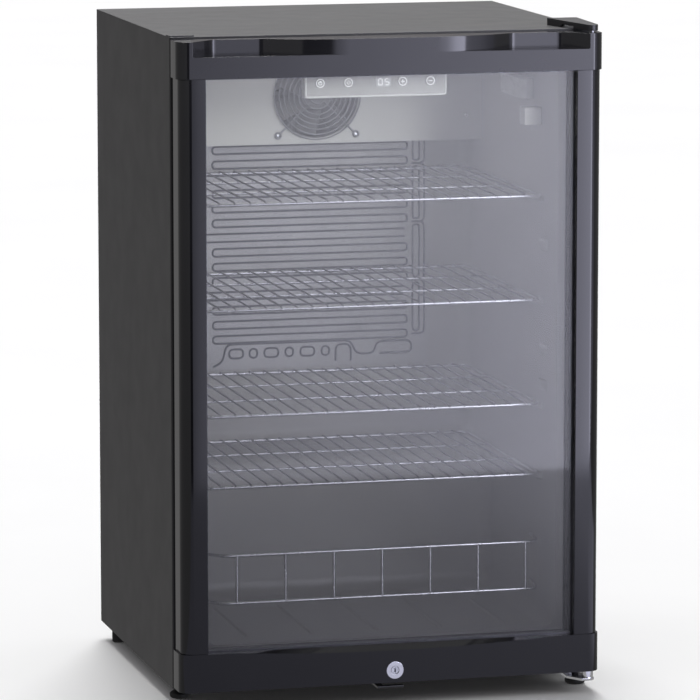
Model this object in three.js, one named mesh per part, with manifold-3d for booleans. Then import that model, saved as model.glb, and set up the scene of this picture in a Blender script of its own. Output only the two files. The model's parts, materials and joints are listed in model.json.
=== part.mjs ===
// Under-counter drinks cooler with one framed glass door: cabinet, cold interior, door and machine bay.
// Millimetres, +Z up, the door faces -Y, the origin is the middle of the floor footprint.
import * as THREE from "three";
import Module from "manifold-3d";
import { mergeVertices } from "three/addons/utils/BufferGeometryUtils.js";

const wasm = await Module();
wasm.setup();

// cabinet
const CAB_W = 540;
const CAB_FRONT = -192;
const CAB_BACK = 248;
const CAB_BOTTOM = 22;
const CAB_TOP = 840;
const SHEET = 1;
const FLANGE = 18;

// cold space: half width, floor and ceiling at the mouth, with the draft they lose by the back
const LINER = { half: 230, floor: 75, top: 797, depth: 395, radius: 25, backRadius: 20, wall: 2 };
const DRAFT = { half: 4.7, floor: 2, top: 2 };
const HUMP = { y: CAB_FRONT + 295, top: 262 };

// shelves stand on moulded ledges
const SHELF_Z = [625, 492, 358, 267.5];
const SHELF = { half: 219, front: CAB_FRONT + 40, depth: 338, bars: 21, frame: 4.4, bar: 2.6 };

// door
const DOOR_FRONT = -248;
const DOOR_BACK = -208;
const RAIL_HALF = 272.5;
const STILE_HALF = 270;
const OPENING = { half: 237, low: 76, high: 792.5 };
const DOOR_Z = { low: 27.5, high: 838.5 };
const CORNER_R = 15;
const GLASS = { half: 245, low: 68, high: 800, pane: 4, front: DOOR_FRONT + 9, gap: 10 };
const HINGE = { x: 262.5, y: CAB_FRONT - 34 };
const LOCK = { x: 2.5, z: 43.5 };

// fan
const FAN = { x: 0, z: 731, bore: 57, panelY: CAB_FRONT + 330 };

// controls
const FASCIA_Y = CAB_FRONT + 29;
const BUTTON_X = [-72, -35.5, 34.5, 70.5];
const BUTTON_Z = 776;

// front feet: the right one is threaded through the lower hinge plate
const FOOT_LEFT = [-250, CAB_FRONT + 50];
const FOOT_RIGHT = [258, CAB_FRONT + 6];

const paint = (colour, roughness, metalness = 0) =>
  new THREE.MeshStandardMaterial({ color: colour, roughness, metalness });
const BLACK_PAINT = paint(0x18181a, 0.45);
const GLOSS_BLACK = paint(0x15151c, 0.15);
const WHITE_ABS = paint(0xdcdee2, 0.4);
const FOAM = paint(0xd9cfa0, 0.9);
const ALU = paint(0xb9bcc2, 0.4, 1);
const CHROME = paint(0xd6d8dc, 0.12, 1);
const STEEL = paint(0x9a9da2, 0.45, 1);
const COPPER = paint(0xb06a42, 0.35, 1);
const RUBBER = paint(0x0c0c0d, 0.85);
const BLACK_ABS = paint(0x101012, 0.5);
const PANE = paint(0xc8d6da, 0.05);

// ---- solids ----

function solid(geometry) {
  const g = geometry.clone();
  g.deleteAttribute("normal");
  g.deleteAttribute("uv");
  const m = mergeVertices(g, 1e-4);
  return new wasm.Manifold(new wasm.Mesh({
    numProp: 3,
    vertProperties: Float32Array.from(m.attributes.position.array),
    triVerts: Uint32Array.from(m.index.array),
  }));
}

function surface(manifold) {
  const m = manifold.getMesh();
  const g = new THREE.BufferGeometry();
  g.setAttribute("position", new THREE.BufferAttribute(Float32Array.from(m.vertProperties), 3));
  g.setIndex(new THREE.BufferAttribute(Uint32Array.from(m.triVerts), 1));
  return g;
}

const union = (...parts) => parts.flat().reduce((a, b) => a.add(b));

function box([x0, x1], [y0, y1], [z0, z1]) {
  const g = new THREE.BoxGeometry(x1 - x0, y1 - y0, z1 - z0);
  return solid(g.translate((x0 + x1) / 2, (y0 + y1) / 2, (z0 + z1) / 2));
}

function extruded(outline, depth, holes = []) {
  const shape = new THREE.Shape(outline.map(([a, b]) => new THREE.Vector2(a, b)));
  shape.holes = holes.map((h) => new THREE.Path(h.map(([a, b]) => new THREE.Vector2(a, b))));
  return new THREE.ExtrudeGeometry(shape, { depth, bevelEnabled: false });
}

// outline in (x, y), (x, z) or (y, z)
const prismZ = (outline, [z0, z1], holes) =>
  solid(extruded(outline, z1 - z0, holes).translate(0, 0, z0));
const prismY = (outline, [y0, y1], holes) =>
  solid(extruded(outline, y1 - y0, holes).rotateX(Math.PI / 2).translate(0, y1, 0));
const prismX = (outline, [x0, x1]) =>
  solid(extruded(outline, x1 - x0).applyMatrix4(
    new THREE.Matrix4().set(0, 0, 1, x0, 1, 0, 0, 0, 0, 1, 0, 0, 0, 0, 0, 1)));

function arc(cx, cy, r, from, to, n) {
  const points = [];
  for (let i = 0; i <= n; i++) {
    const a = ((from + ((to - from) * i) / n) * Math.PI) / 180;
    points.push([cx + r * Math.cos(a), cy + r * Math.sin(a)]);
  }
  return points;
}

const circle = (cx, cy, r, n = 24) => arc(cx, cy, r, 0, 360, n).slice(0, n);
const rect = (x0, x1, z0, z1) => [[x0, z0], [x1, z0], [x1, z1], [x0, z1]];
const cylinderY = (x, z, r, y, n) => prismY(circle(x, z, r, n), y);
const cylinderZ = (x, y, r, z, n) => prismZ(circle(x, y, r, n), z);

function turned(profile, n, x, y) {
  const points = profile.map(([r, z]) => new THREE.Vector2(r, z));
  return solid(new THREE.LatheGeometry(points, n).rotateX(Math.PI / 2).translate(x, y, 0));
}

function pipe(points, r, steps, sides = 6) {
  const curve = new THREE.CatmullRomCurve3(points.map((p) => new THREE.Vector3(...p)), false,
    "catmullrom", 0.3);
  const shape = new THREE.Shape(circle(0, 0, r, sides).map(([a, b]) => new THREE.Vector2(a, b)));
  return solid(new THREE.ExtrudeGeometry(shape, { steps, extrudePath: curve, bevelEnabled: false }));
}

function roundRect(half, z0, z1, r, n = 4) {
  return [
    ...arc(half - r, z1 - r, r, 0, 90, n), ...arc(-half + r, z1 - r, r, 90, 180, n),
    ...arc(-half + r, z0 + r, r, 180, 270, n), ...arc(half - r, z0 + r, r, 270, 360, n),
  ];
}

// a closed skin over rings of equal length, each ring a list of (x, z) at one y
function loft(rings) {
  const n = rings[0].points.length;
  const position = rings.flatMap(({ y, points }) => points.flatMap(([x, z]) => [x, y, z]));
  const index = [];
  for (let k = 0; k < rings.length - 1; k++) {
    for (let i = 0; i < n; i++) {
      const a = k * n + i;
      const b = k * n + ((i + 1) % n);
      index.push(a, b, b + n, a, b + n, a + n);
    }
  }
  const last = (rings.length - 1) * n;
  for (let i = 1; i < n - 1; i++) {
    index.push(0, i + 1, i);
    index.push(last, last + i, last + i + 1);
  }
  const g = new THREE.BufferGeometry();
  g.setAttribute("position", new THREE.Float32BufferAttribute(position, 3));
  g.setIndex(index.reverse());
  return solid(g);
}

const group = new THREE.Group();
group.name = "glass_door_merchandiser";

function add(name, material, part) {
  const mesh = new THREE.Mesh(surface(part), material);
  mesh.name = name;
  group.add(mesh);
}

// ---- cabinet skin ----

const half = CAB_W / 2;

function sidePanel(side) {
  const x = (v) => side * v;
  const outline = [
    [x(half), CAB_BACK], [x(half), CAB_FRONT + 3], [x(half - 1), CAB_FRONT + 0.8],
    [x(half - 3), CAB_FRONT], [x(half - FLANGE), CAB_FRONT], [x(half - FLANGE), CAB_FRONT + SHEET],
    [x(half - 3), CAB_FRONT + SHEET], [x(half - SHEET), CAB_FRONT + 3], [x(half - SHEET), CAB_BACK],
  ];
  return prismZ(outline, [CAB_BOTTOM, CAB_TOP - SHEET]);
}

add("side_panel_left", BLACK_PAINT, sidePanel(-1));
add("side_panel_right", BLACK_PAINT, sidePanel(1));
add("top_panel", BLACK_PAINT, union(
  box([-half, half], [CAB_FRONT, CAB_BACK], [CAB_TOP - SHEET, CAB_TOP]),
  box([-half + FLANGE, half - FLANGE], [CAB_FRONT, CAB_FRONT + SHEET], [811, CAB_TOP - 0.5])));
add("rear_panel", BLACK_PAINT,
  box([-half + SHEET, half - SHEET], [CAB_BACK - SHEET, CAB_BACK], [236, CAB_TOP - SHEET]));
add("base_pan", STEEL, union(
  box([-half + SHEET, half - SHEET], [CAB_FRONT + 3, CAB_BACK - 3], [CAB_BOTTOM, 24]),
  box([-half + FLANGE, half - FLANGE], [CAB_FRONT, CAB_FRONT + 3.5], [CAB_BOTTOM, 61]))
  .subtract(cylinderZ(...FOOT_LEFT, 5, [20, 30], 16))
  .subtract(cylinderZ(...FOOT_RIGHT, 5, [20, 30], 16)));

// ---- liner ----

// ring of the cold space at depth d behind the mouth, grown outwards by t
function linerRing(d, inset, t) {
  const k = Math.min(d, LINER.depth - LINER.backRadius) / (LINER.depth - LINER.backRadius);
  return roundRect(LINER.half - DRAFT.half * k - inset + t, LINER.floor + DRAFT.floor * k + inset - t,
    LINER.top - DRAFT.top * k - inset + t, LINER.radius - inset * 0.9 + t);
}

function coldSpace(t, front) {
  const rings = [
    { y: CAB_FRONT + front, points: linerRing(0, 0, t) },
    { y: CAB_FRONT + 0.5, points: linerRing(0, 0, t) },
  ];
  for (let i = 0; i <= 3; i++) {
    const a = (i * Math.PI) / 6;
    const r = LINER.backRadius;
    rings.push({
      y: CAB_FRONT + LINER.depth - r + (r + t) * Math.sin(a),
      points: linerRing(LINER.depth, r * (1 - Math.cos(a)), t * Math.cos(a)),
    });
  }
  return loft(rings);
}

function wallLedge(side, z) {
  const at = (d) => LINER.half - (DRAFT.half * d) / (LINER.depth - LINER.backRadius) + 1;
  const outline = [[213, 62], [at(62), 54], [at(362), 362], [213, 362]];
  return prismZ(outline.map(([x, d]) => [side * x, CAB_FRONT + d]), [z - 9, z]);
}

const humpCut = (t) => box([-260, 260], [HUMP.y + t, 260], [40, HUMP.top - t]);
const outerShell = coldSpace(LINER.wall, 0.5);
const mouthFlange = prismY(roundRect(half - FLANGE, 61, 811, 4),
  [CAB_FRONT, CAB_FRONT + LINER.wall]);
const innerVoid = coldSpace(0, -3).subtract(humpCut(0));
const ledges = SHELF_Z.flatMap((z) => [-1, 1].map((s) => wallLedge(s, z - SHELF.frame / 2)));
const ribs = [-164, -80, 4, 88, 172].map((x) =>
  box([x - 2, x + 2], [CAB_FRONT + 36, CAB_FRONT + 226], [LINER.floor - 0.5, LINER.floor + 3]));
add("inner_liner", WHITE_ABS, union(outerShell, mouthFlange).subtract(innerVoid)
  .add(union(ledges)).add(union(ribs)).subtract(humpCut(LINER.wall)));

// ---- insulation slabs between liner and skin ----

const foamY = [CAB_FRONT + 4, CAB_BACK - SHEET];
add("insulation_shell", FOAM,
  box([-half + SHEET, half - SHEET], foamY, [262, CAB_TOP - SHEET])
    .subtract(box([-LINER.half - 4, LINER.half + 4], [CAB_FRONT, CAB_FRONT + 398], [200, 800])));
add("insulation_floor", FOAM, box([-236, 236], [CAB_FRONT + 4, CAB_FRONT + 294], [24, 71]));
const bayY = CAB_FRONT + 321;
add("insulation_hump", FOAM, prismX([
  [HUMP.y + 2.5, 72], [bayY, 72], [bayY, 236], [CAB_BACK - SHEET, 236], [CAB_BACK - SHEET, 258],
  [HUMP.y + 18.5, 258], [HUMP.y + 2.5, 242],
], [-half + SHEET, half - SHEET]));
add("machine_bay_wall", STEEL, prismX([
  [bayY, 24], [bayY + 1, 24], [bayY + 1, 235], [CAB_BACK - 4, 235], [CAB_BACK - 4, 236],
  [bayY, 236],
], [-half + 2, half - 2]));

// ---- cold-space fittings ----

const fanScrews = [[-52.5, -52.5], [52.5, -52.5], [-52.5, 52.5], [52.5, 52.5]];
const panelTop = 794.4;
const fanPanelOutline = [
  [-225, 667], [225, 667], ...arc(201, panelTop - 24, 24, 0, 90, 4),
  ...arc(-201, panelTop - 24, 24, 90, 180, 4),
];
add("fan_panel", WHITE_ABS, prismY(fanPanelOutline, [FAN.panelY, FAN.panelY + 2.5],
  [circle(FAN.x, FAN.z, FAN.bore, 32)])
  .add(box([-225, 225], [FAN.panelY + 1, FAN.panelY + 14], [667, 669])));

const frameY = [FAN.panelY + 2.5, FAN.panelY + 34];
add("fan_housing", BLACK_ABS,
  box([-60, 60], frameY, [FAN.z - 60, FAN.z + 60])
    .subtract(cylinderY(FAN.x, FAN.z, 56.5, [frameY[0] - 1, frameY[1] + 1], 32))
    .add(cylinderY(FAN.x, FAN.z, 17, [frameY[1] - 8, frameY[1]], 20))
    .add(union([0, 60, 120].map((deg) => {
      const strut = box([-57, 57], [frameY[1] - 4, frameY[1]], [-2.5, 2.5]);
      return strut.rotate([0, deg, 0]).translate([FAN.x, 0, FAN.z]);
    }))));

const bladeY = [FAN.panelY + 4, FAN.panelY + 24];
function blade(i) {
  const g = new THREE.BoxGeometry(40, 2, 30);
  g.rotateX(0.72).translate(34, 0, 0).rotateY((i * 2 * Math.PI) / 7);
  return solid(g.translate(FAN.x, (bladeY[0] + bladeY[1]) / 2, FAN.z));
}
add("fan_rotor", BLACK_ABS, cylinderY(FAN.x, FAN.z, 20, bladeY, 20)
  .add(union(Array.from({ length: 7 }, (_, i) => blade(i)))));

const wireY = [FAN.panelY - 5, FAN.panelY - 2.6];
const ring = (x, z, r, w, n) => prismY(circle(x, z, r, n), wireY, [circle(x, z, r - w, n)]);
add("fan_guard", CHROME, union(
  [58.5, 45, 31, 17].map((r) => ring(FAN.x, FAN.z, r, 2.2, 28)),
  [45, -45].map((deg) => box([-70, 70], [wireY[0], wireY[1] + 1], [-1.2, 1.2])
    .rotate([0, deg, 0]).translate([FAN.x, 0, FAN.z])),
  fanScrews.map(([dx, dz]) => prismY(circle(FAN.x + dx, FAN.z + dz, 5, 12),
    [wireY[0], FAN.panelY], [circle(FAN.x + dx, FAN.z + dz, 2.4, 12)]))));

const plateY = CAB_FRONT + LINER.depth;
const CHANNEL = { low: 411.7, pitch: 19.4, count: 15 };
const channels = Array.from({ length: CHANNEL.count }, (_, i) => {
  const z = CHANNEL.low + i * CHANNEL.pitch;
  const outline = [...arc(146, z, 4.5, -90, 90, 4), ...arc(-190, z, 4.5, 90, 270, 4)];
  return prismY(outline, [plateY - 5.5, plateY - 1]);
});
const risers = Array.from({ length: CHANNEL.count - 1 }, (_, i) => {
  const z = CHANNEL.low + i * CHANNEL.pitch;
  const x = i % 2 ? -190 : 146;
  return box([x - 3.5, x + 3.5], [plateY - 5, plateY - 1], [z, z + CHANNEL.pitch]);
});
add("evaporator_plate", ALU, union(
  box([-204, 170], [plateY - 2, plateY], [360, 712]), channels, risers));

add("led_lamp", paint(0xf4f6fa, 0.3), prismZ([
  [212, CAB_FRONT + 106], [216, CAB_FRONT + 100], [227, CAB_FRONT + 100], [226.5, CAB_FRONT + 205],
  [216, CAB_FRONT + 205], [212, CAB_FRONT + 199],
], [742, 768]));
add("sensor_cover", WHITE_ABS,
  box([205, 228], [CAB_FRONT + 66, CAB_FRONT + 90], [712, 735]));

// ---- control box under the ceiling ----

const housingY = [FASCIA_Y + 2, FASCIA_Y + 66];
add("control_housing", WHITE_ABS,
  box([-91.5, 91.5], housingY, [757.5, 796.3])
    .subtract(box([-86, 86], [housingY[0] - 1, housingY[0] + 14], [762, 792])));
add("control_fascia", WHITE_ABS,
  box([-91.5, 91.5], [FASCIA_Y, FASCIA_Y + 2], [757.5, 796.3])
    .subtract(box([0, 20], [FASCIA_Y - 1, FASCIA_Y + 3], [769.5, 782]))
    .subtract(union(BUTTON_X.map((x) =>
      cylinderY(x, BUTTON_Z, 6.3, [FASCIA_Y - 1, FASCIA_Y + 3], 20)))));
add("display_window", GLOSS_BLACK,
  box([0.3, 19.7], [FASCIA_Y - 0.4, FASCIA_Y + 6], [769.8, 781.7]));
BUTTON_X.forEach((x, i) => add(`button_${i + 1}`, BLACK_ABS,
  cylinderY(x, BUTTON_Z, 5.9, [FASCIA_Y - 1.4, FASCIA_Y + 5], 20)));

// ---- shelves and the front guard ----

function shelf(z) {
  const { half: w, front, depth, bars, frame, bar } = SHELF;
  const f = frame / 2;
  const cross = (y, s) => box([-w, w], [y - s, y + s], [z - s, z + s]);
  const parts = [
    cross(front, f), cross(front + depth, f), cross(front + 118, 1.6), cross(front + 234, 1.6),
  ];
  for (const s of [-1, 1]) {
    parts.push(box([s * w - f, s * w + f], [front - f, front + depth + f], [z - f, z + f]));
  }
  for (let i = 1; i <= bars; i++) {
    const x = -w + (2 * w * i) / (bars + 1);
    parts.push(box([x - bar / 2, x + bar / 2], [front - 1, front + depth + 1],
      [z + 0.4, z + 0.4 + bar]));
  }
  return union(parts);
}
SHELF_Z.forEach((z, i) => add(`wire_shelf_${i + 1}`, CHROME, shelf(z)));

const guardY = CAB_FRONT + 40;
const GUARD_Z = [119, 180];
add("front_guard", CHROME, union(
  GUARD_Z.map((z) => box([-196, 206], [guardY - 2, guardY + 2], [z - 2, z + 2])),
  Array.from({ length: 7 }, (_, i) => {
    const x = -178 + i * 63.2;
    return box([x - 1.8, x + 1.8], [guardY - 1.8, guardY + 1.8], [118, 181]);
  })));

// each hook takes the two rails back to the side wall, where an upright joins their ends
function guardHook(points) {
  const outline = [
    ...points.map(([x, y]) => [x, y - 2]), ...points.map(([x, y]) => [x, y + 2]).reverse(),
  ];
  const [x, y] = points[points.length - 1];
  return union(GUARD_Z.map((z) => prismZ(outline, [z - 2, z + 2])),
    box([x - 1.8, x + 1.8], [y - 1.8, y + 1.8], [118, 181]));
}
add("guard_hook_left", CHROME,
  guardHook([[-196, guardY], [-212, guardY + 20], [-224, guardY + 52]]));
add("guard_hook_right", CHROME,
  guardHook([[206, guardY], [214, guardY + 20], [224, guardY + 52]]));

// ---- machine bay ----

const bayMid = CAB_FRONT + 380;
add("compressor_bracket", STEEL,
  box([40, 220], [bayMid - 46, bayMid + 46], [24, 26])
    .add(union([[60, -34], [200, -34], [60, 34], [200, 34]].map(([x, dy]) =>
      cylinderZ(x, bayMid + dy, 8, [25, 36], 12)))));
add("compressor", BLACK_PAINT, turned([
  [0, 36], [38, 36], [47, 44], [50, 60], [50, 92], [52, 93], [52, 97], [50, 98], [50, 126],
  [44, 146], [28, 158], [0, 162],
], 28, 130, bayMid).add(box([52, 208], [bayMid - 42, bayMid + 42], [36, 39])));
add("relay_box", BLACK_ABS, box([58, 78], [bayMid - 24, bayMid + 24], [62, 118]));
add("discharge_pipe", COPPER, pipe([
  [130, bayMid + 54, 104], [130, bayMid + 54, 180], [60, bayMid + 50, 204],
  [-70, bayMid + 50, 204], [-82, bayMid + 48, 188],
], 3, 22));
add("suction_pipe", COPPER, pipe([
  [180, bayMid - 32, 104], [184, bayMid - 38, 176], [200, bayMid - 42, 206],
  [240, bayMid - 42, 200], [248, bayMid - 42, 150],
], 4, 22));
add("filter_drier", COPPER, turned([
  [0, 96], [3, 98], [3, 106], [8, 114], [8, 160], [3, 168], [3, 178], [0, 180],
], 16, -40, bayMid - 38));
const coil = [];
for (let row = 0; row < 6; row++) {
  const z = 48 + row * 24;
  const ends = row % 2 ? [-90, -236] : [-236, -90];
  coil.push([ends[0], bayMid + 20, z], [ends[1], bayMid + 20, z]);
}
add("condenser_coil", BLACK_PAINT, pipe(coil, 3, 66));
add("evaporation_tray", BLACK_ABS,
  box([70, 190], [bayMid - 30, bayMid + 30], [166, 186])
    .subtract(box([73, 187], [bayMid - 27, bayMid + 27], [169, 190]))
    .add(cylinderZ(130, bayMid, 8, [162, 168], 12)));
const slots = [];
for (let row = 0; row < 7; row++) {
  for (const x of [[-230, -90], [-70, 70], [90, 230]]) {
    slots.push(box(x, [CAB_BACK - 1, CAB_BACK + 3], [56 + row * 22, 64 + row * 22]));
  }
}
add("rear_grille", BLACK_PAINT,
  box([-half + 4, half - 4], [CAB_BACK, CAB_BACK + 2], [26, 250]).subtract(union(slots)));

// ---- door ----

// plan of a rail or stile run: rounded front corners, square back
function doorPlan(w) {
  return [
    [w, DOOR_BACK], ...arc(-w + CORNER_R, DOOR_FRONT + CORNER_R, CORNER_R, 180, 270, 6).map(
      ([x, y]) => [-x, y]),
    ...arc(-w + CORNER_R, DOOR_FRONT + CORNER_R, CORNER_R, 270, 180, 6), [-w, DOOR_BACK],
  ];
}

const glassSlot = box([-GLASS.half - 1, GLASS.half + 1],
  [GLASS.front - 0.3, GLASS.front + 2 * GLASS.pane + GLASS.gap + 0.3], [GLASS.low - 1, GLASS.high + 1]);

// hand recess: the face slopes away into a flat pocket and ramps back out by the corner
const recessWall = [
  [56, 0], [75, 0.9], [94, 3.8], [112, 8.4], [130, 13.6], [137, 17], [155, 26], [160, 27.6],
  [165, 28], [218, 28], [223, 27.2], [227, 25], [253.5, 0], [253.5, -2], [56, -2],
];
const recess = (side) => prismZ(
  recessWall.map(([x, d]) => [side * x, DOOR_FRONT + d]), [819.5, 845]);
const pinBore = cylinderZ(HINGE.x, HINGE.y, 4.1, [820, 840], 24);
add("top_rail", GLOSS_BLACK, prismZ(doorPlan(RAIL_HALF), [OPENING.high, DOOR_Z.high])
  .subtract(glassSlot).subtract(recess(1)).subtract(recess(-1)).subtract(pinBore));

// the top edge of the bottom rail is scooped: a long shallow bevel, deepest at mid-width
const SCOOP = { half: 208, drop: 7.5, steps: 14 };
function scoop() {
  const lower = (drop) => Array.from({ length: SCOOP.steps + 1 }, (_, i) => {
    const u = (2 * i) / SCOOP.steps - 1;
    return [u * SCOOP.half, OPENING.low + 0.02 - drop * (1 - u * u)];
  });
  const upper = [[SCOOP.half, OPENING.low + 3], [-SCOOP.half, OPENING.low + 3]];
  return loft([
    { y: DOOR_FRONT - 1, points: [...lower(SCOOP.drop * 1.14), ...upper] },
    { y: DOOR_FRONT + 7, points: [...lower(0.05), ...upper] },
  ]);
}

const camPocket = box([LOCK.x - 12, LOCK.x + 36], [-228, -219], [20, 58]);
add("bottom_rail", GLOSS_BLACK, prismZ(doorPlan(RAIL_HALF), [DOOR_Z.low, OPENING.low])
  .subtract(glassSlot).subtract(camPocket).subtract(scoop())
  .subtract(cylinderY(LOCK.x, LOCK.z, 9.8, [-255, -227], 24))
  .subtract(cylinderZ(HINGE.x, HINGE.y, 4.1, [20, 46], 24)));

function stile(side) {
  const plan = prismZ(doorPlan(STILE_HALF), [OPENING.low, OPENING.high]);
  const keep = box(side > 0 ? [OPENING.half, 300] : [-300, -OPENING.half], [-260, -200], [0, 900]);
  return plan.intersect(keep).subtract(glassSlot);
}
add("stile_left", GLOSS_BLACK, stile(-1));
add("stile_right", GLOSS_BLACK, stile(1));

function pane(front) {
  return box([-GLASS.half, GLASS.half], [front, front + GLASS.pane], [GLASS.low, GLASS.high]);
}
add("outer_glass", PANE, pane(GLASS.front));
add("inner_glass", PANE, pane(GLASS.front + GLASS.pane + GLASS.gap));
add("glass_spacer", ALU, prismY(rect(-243, 243, 70, 798),
  [GLASS.front + GLASS.pane, GLASS.front + GLASS.pane + GLASS.gap],
  [rect(-236, 236, 77.5, 790.5).reverse()]));
add("door_gasket", RUBBER, prismY(rect(-250, 250, 45, 822), [DOOR_BACK, CAB_FRONT - 1.5],
  [rect(-238, 238, 57, 810).reverse()]));

// ---- lock ----

add("lock_barrel", CHROME, cylinderY(LOCK.x, LOCK.z, 9.5, [DOOR_FRONT, -229], 24)
  .add(cylinderY(LOCK.x, LOCK.z, 11, [DOOR_FRONT - 2, DOOR_FRONT], 24))
  .subtract(cylinderY(LOCK.x, LOCK.z, 5.4, [-255, -220], 20)));
add("lock_plug", CHROME, cylinderY(LOCK.x, LOCK.z, 5, [DOOR_FRONT - 1.6, -225], 20)
  .subtract(box([LOCK.x - 0.8, LOCK.x + 0.8], [-255, DOOR_FRONT + 3], [LOCK.z - 3, LOCK.z + 3])));
add("lock_cam", STEEL, prismY([
  ...arc(LOCK.x, LOCK.z, 6, 90, 270, 6), [LOCK.x + 26, LOCK.z - 5],
  ...arc(LOCK.x + 26, LOCK.z, 5, -90, 90, 4),
], [-225, -222.5]));
add("lock_strike", BLACK_PAINT, prismZ([
  [-18, CAB_FRONT + 30], [-18, -242], [16, -242], [16, -234], [-9, -234], [-9, CAB_FRONT + 2],
  [16, CAB_FRONT + 2], [16, CAB_FRONT + 30],
], [19, CAB_BOTTOM]));

// ---- hinges ----

const hingeArm = [[242, CAB_FRONT + 50], [267.5, CAB_FRONT + 50],
  ...arc(HINGE.x, HINGE.y, 5, 0, -180, 6), [250, CAB_FRONT - 4], [242, CAB_FRONT + 6]];
add("top_hinge_bracket", STEEL, prismZ(hingeArm, [CAB_TOP, CAB_TOP + 3])
  .add(cylinderZ(HINGE.x, HINGE.y, 3.6, [823, CAB_TOP + 1], 20)));
const coverPlan = [[231, CAB_FRONT + 56], [270, CAB_FRONT + 56],
  ...arc(HINGE.x, HINGE.y, 7.5, 0, -180, 8)];
const coverPocket = [[240, CAB_FRONT + 52], [268, CAB_FRONT + 52],
  ...arc(HINGE.x, HINGE.y, 5.5, 0, -180, 6), [248, CAB_FRONT - 6], [240, CAB_FRONT + 8]];
add("hinge_cover", BLACK_ABS, prismZ(coverPlan, [CAB_TOP, 852])
  .subtract(prismX([[-260, 847], [-130, 849.2], [-130, 860], [-260, 860]], [200, 300]))
  .subtract(prismZ(coverPocket, [830, CAB_TOP + 3.6])));
add("hinge_blank_cap", BLACK_ABS, prismX([
  [CAB_FRONT + 4, CAB_TOP], [CAB_FRONT + 24, CAB_TOP], [CAB_FRONT + 23, CAB_TOP + 2],
  [CAB_FRONT + 5, CAB_TOP + 2],
], [-270, -238]));

// the plate hangs below the cabinet on a joggle and carries the pin at its front corner
add("bottom_hinge_bracket", CHROME, prismZ([
  [238, CAB_FRONT + 36], [270, CAB_FRONT + 36], [270, HINGE.y - 2],
  ...arc(HINGE.x - 0.5, HINGE.y - 2, 8, 0, -90, 5), [252, HINGE.y - 10], [238, HINGE.y + 12],
], [13, 16])
  .add(box([238, 270], [CAB_FRONT + 33, CAB_FRONT + 36], [13, CAB_BOTTOM]))
  .add(box([238, 270], [CAB_FRONT + 33, CAB_FRONT + 58], [19, CAB_BOTTOM]))
  .add(cylinderZ(HINGE.x, HINGE.y, 7, [15, 27], 20))
  .add(cylinderZ(HINGE.x, HINGE.y, 3.6, [26, 43], 20))
  .subtract(cylinderZ(...FOOT_RIGHT, 5, [10, 30], 16)));

// ---- feet ----

const levellingFoot = ([x, y]) => turned([
  [0, 0], [11, 0], [13, 2], [13, 6], [9, 9], [4, 10], [4, 40], [0, 40],
], 20, x, y);
add("foot_front_left", RUBBER, levellingFoot(FOOT_LEFT));
add("foot_front_right", RUBBER, levellingFoot(FOOT_RIGHT));
for (const [name, x] of [["foot_rear_left", -254], ["foot_rear_right", 254]]) {
  add(name, RUBBER, turned([[0, 0], [7.5, 0], [9, 2], [9, 20], [8, 22], [0, 22]], 16, x,
    CAB_FRONT + 402));
}

export default group;
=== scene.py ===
"""Studio picture of a glass door drinks cooler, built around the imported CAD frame.

Metres, +Z up, the door faces -Y. Pieces ride the frame's bodies, so every joint moves them.
"""

import json
import math

import bmesh
import bpy
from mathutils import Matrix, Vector

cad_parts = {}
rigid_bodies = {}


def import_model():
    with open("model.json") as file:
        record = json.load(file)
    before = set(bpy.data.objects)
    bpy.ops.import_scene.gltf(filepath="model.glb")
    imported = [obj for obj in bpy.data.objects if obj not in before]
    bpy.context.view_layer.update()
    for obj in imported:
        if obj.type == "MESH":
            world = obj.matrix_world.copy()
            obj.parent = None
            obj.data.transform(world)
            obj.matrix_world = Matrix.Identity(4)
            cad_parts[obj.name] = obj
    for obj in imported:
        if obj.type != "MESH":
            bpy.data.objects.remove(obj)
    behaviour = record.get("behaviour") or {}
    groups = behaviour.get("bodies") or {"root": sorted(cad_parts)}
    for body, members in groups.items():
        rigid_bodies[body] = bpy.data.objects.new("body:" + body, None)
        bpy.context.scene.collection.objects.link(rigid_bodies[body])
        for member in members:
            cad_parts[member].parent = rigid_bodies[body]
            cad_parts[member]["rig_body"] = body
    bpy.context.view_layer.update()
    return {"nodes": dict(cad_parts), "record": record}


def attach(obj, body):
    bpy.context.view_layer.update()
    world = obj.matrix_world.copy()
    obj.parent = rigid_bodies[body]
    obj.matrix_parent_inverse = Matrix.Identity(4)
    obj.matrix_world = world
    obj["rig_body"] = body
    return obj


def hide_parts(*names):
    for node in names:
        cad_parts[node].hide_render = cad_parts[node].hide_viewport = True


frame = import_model()

MM = 0.001
FRONT = -0.192  # front plane of the cabinet
NODES = frame["nodes"]


# ---------------------------------------------------------------- materials


def node(tree, kind, **values):
    n = tree.nodes.new(kind)
    for key, value in values.items():
        if key in n.inputs:
            n.inputs[key].default_value = value
        else:
            setattr(n, key, value)
    return n


def ramp(tree, source, stops):
    r = tree.nodes.new("ShaderNodeValToRGB")
    while len(r.color_ramp.elements) < len(stops):
        r.color_ramp.elements.new(0.5)
    for e, (at, colour) in zip(r.color_ramp.elements, stops):
        e.position = at
        e.color = (*colour, 1)
    tree.links.new(source, r.inputs["Fac"])
    return r.outputs["Color"]


def noise(tree, coords, scale, detail=3.0, stretch=(1, 1, 1)):
    m = node(tree, "ShaderNodeMapping")
    m.inputs["Scale"].default_value = stretch
    tree.links.new(coords, m.inputs["Vector"])
    n = node(tree, "ShaderNodeTexNoise", Scale=scale, Detail=detail)
    tree.links.new(m.outputs["Vector"], n.inputs["Vector"])
    return n.outputs["Fac"]


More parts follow.
